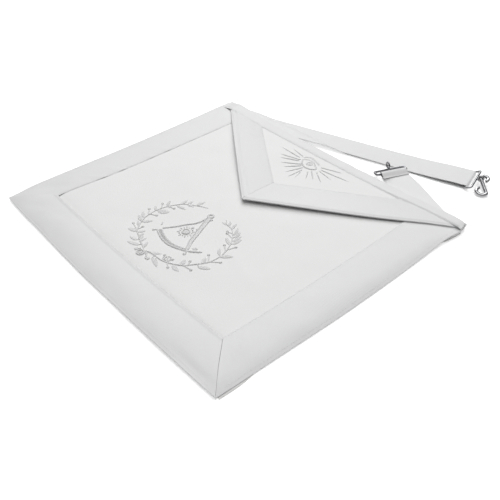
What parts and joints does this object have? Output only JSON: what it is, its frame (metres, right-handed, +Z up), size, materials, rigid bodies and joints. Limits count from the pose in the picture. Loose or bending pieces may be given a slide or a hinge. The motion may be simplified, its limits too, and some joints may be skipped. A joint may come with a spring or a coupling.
{
  "type": "masonic apron",
  "caption": "White leather lodge apron lying flat, with ribbon borders, a triangular flap, embroidered wreath, compasses and radiant eye, two waist straps, wire slides and a snake hook.",
  "frame": {"origin": "middle of the whole piece's footprint, on the surface that it lies on", "axes": "+X across the apron's width towards the wearer's left edge, +Y from the foot towards the waistband, +Z up from the surface"},
  "size_m": [0.4104, 0.462, 0.013],
  "materials": {
    "leather": "smooth matt white lambskin",
    "ribbon": "finely ribbed white grosgrain",
    "lining": "plain white cotton",
    "thread": "white satin-stitch thread",
    "chrome": "polished nickel wire"
  },
  "bodies": {
    "root": {"backing": "lining", "panel": "leather", "border_left": "ribbon", "border_bottom": "ribbon", "border_right": "ribbon", "flap_panel": "leather", "flap_border_left": "ribbon", "flap_border_right": "ribbon", "waistband": "ribbon", "strap_long": "ribbon", "strap_short": "ribbon", "slide_long": "chrome", "slide_short": "chrome", "snake_hook": "chrome", "wreath": "thread", "compasses": "thread", "sun": "thread", "radiant_eye": "thread"}
  },
  "joints": []
}
